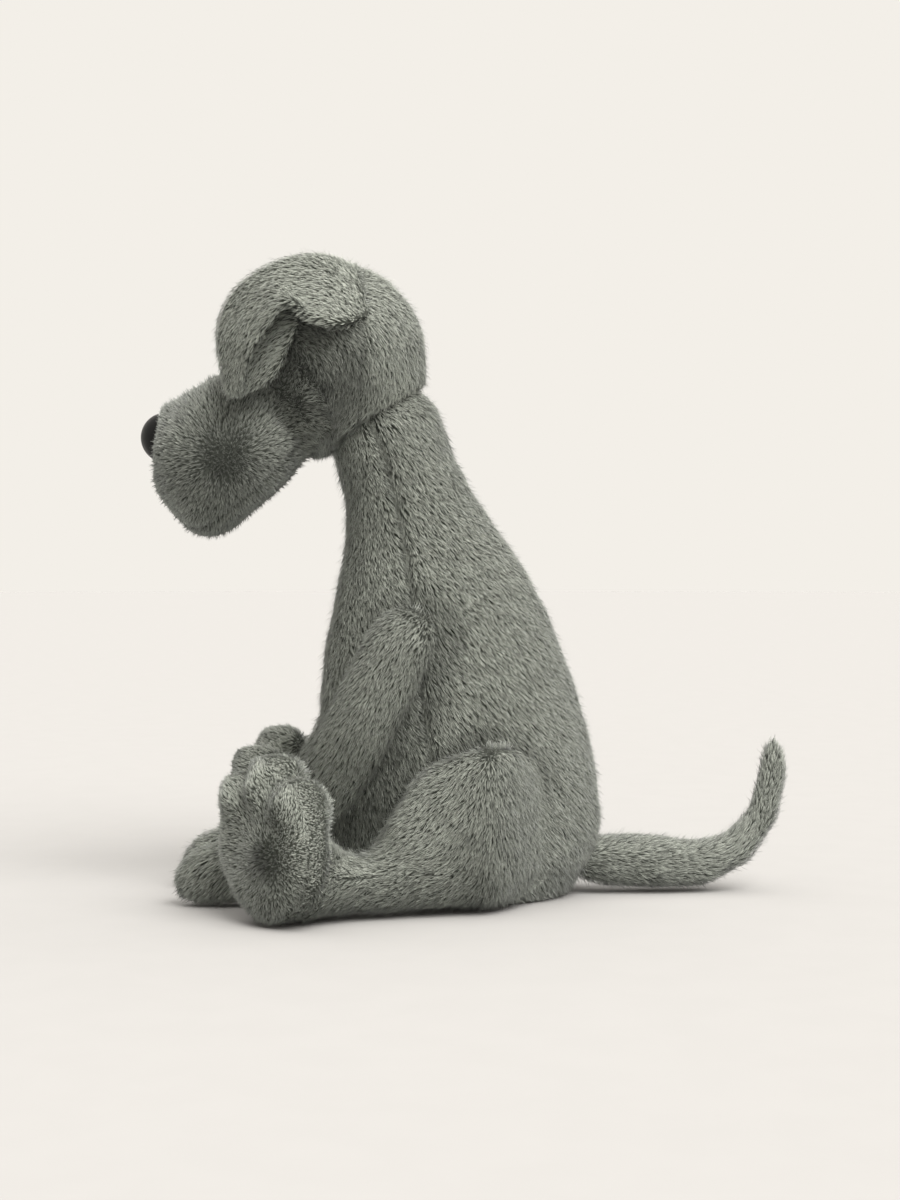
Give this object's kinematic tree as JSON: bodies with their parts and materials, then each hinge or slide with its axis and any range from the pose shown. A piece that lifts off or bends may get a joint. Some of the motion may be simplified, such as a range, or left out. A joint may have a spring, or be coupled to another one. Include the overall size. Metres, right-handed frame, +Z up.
{
  "type": "sitting plush dog",
  "caption": "Seated stuffed dog of sewn plush panels with a domed plastic nose, folded ears, limbs that turn at their seams and a curled tail.",
  "frame": {"origin": "on the flat seat, under the middle of the body", "axes": "+Z up, -Y the way the dog faces, +X its left side"},
  "size_m": [0.2092, 0.3036, 0.2955],
  "materials": {
    "plush": "short grey-green pile",
    "lining": "short pile, a shade darker",
    "fibre": "loose white polyester fibre",
    "bag": "plain woven bag of pellets",
    "black_plastic": "soft gloss moulded",
    "washer_plastic": "natural moulded"
  },
  "bodies": {
    "torso": {"body_left": "plush", "body_right": "plush", "chest": "plush", "seat": "plush", "body_stuffing": "fibre", "pellet_bag": "bag"},
    "head": {"head_back": "plush", "face_left": "plush", "face_right": "plush", "head_stuffing": "fibre", "muzzle_left": "plush", "muzzle_right": "plush", "chin": "plush", "muzzle_stuffing": "fibre", "nose": "black_plastic", "nose_washer": "washer_plastic", "eye_left": "black_plastic", "eye_right": "black_plastic", "eye_washer_left": "washer_plastic", "eye_washer_right": "washer_plastic"},
    "ear_left": {"ear_outer_left": "plush", "ear_lining_left": "lining"},
    "ear_right": {"ear_outer_right": "plush", "ear_lining_right": "lining"},
    "arm_left": {"arm_outer_left": "plush", "arm_inner_left": "plush", "arm_stuffing_left": "fibre"},
    "arm_right": {"arm_outer_right": "plush", "arm_inner_right": "plush", "arm_stuffing_right": "fibre"},
    "leg_left": {"leg_outer_left": "plush", "leg_inner_left": "plush", "sole_left": "plush", "leg_stuffing_left": "fibre"},
    "leg_right": {"leg_outer_right": "plush", "leg_inner_right": "plush", "sole_right": "plush", "leg_stuffing_right": "fibre"},
    "tail": {"tail_top": "plush", "tail_bottom": "plush", "tail_stuffing": "fibre"}
  },
  "joints": [
    {"name": "neck_nod", "type": "hinge", "parent": "torso", "child": "head", "pos_m": [0, -0.0295, 0.2135], "axis": [1, 0, 0], "range_deg": [-18, 10], "stiffness_Nm_per_rad": 2},
    {"name": "ear_lift_left", "type": "hinge", "parent": "head", "child": "ear_left", "pos_m": [0.03267, -0.04239, 0.27645], "axis": [-0.6472, -0.07, 0.7591], "range_deg": [0, 45]},
    {"name": "ear_lift_right", "type": "hinge", "parent": "head", "child": "ear_right", "pos_m": [-0.03267, -0.04239, 0.27645], "axis": [-0.6472, 0.07, -0.7591], "range_deg": [0, 45]},
    {"name": "arm_swing_left", "type": "hinge", "parent": "torso", "child": "arm_left", "pos_m": [0.03974, -0.022, 0.124], "axis": [0.9929, -0.1036, 0.0592], "range_deg": [-45, 0]},
    {"name": "arm_swing_right", "type": "hinge", "parent": "torso", "child": "arm_right", "pos_m": [-0.03974, -0.022, 0.124], "axis": [0.9929, 0.1036, -0.0592], "range_deg": [-45, 0]},
    {"name": "leg_lift_left", "type": "hinge", "parent": "torso", "child": "leg_left", "pos_m": [0.04603, 0.008, 0.038], "axis": [1, 0, 0], "range_deg": [-7, 0]},
    {"name": "leg_lift_right", "type": "hinge", "parent": "torso", "child": "leg_right", "pos_m": [-0.04603, 0.008, 0.038], "axis": [1, 0, 0], "range_deg": [-7, 0]},
    {"name": "tail_wag", "type": "hinge", "parent": "torso", "child": "tail", "pos_m": [0, 0.07413, 0.015], "axis": [0, 0, 1], "range_deg": [-30, 30], "stiffness_Nm_per_rad": 0.1}
  ]
}
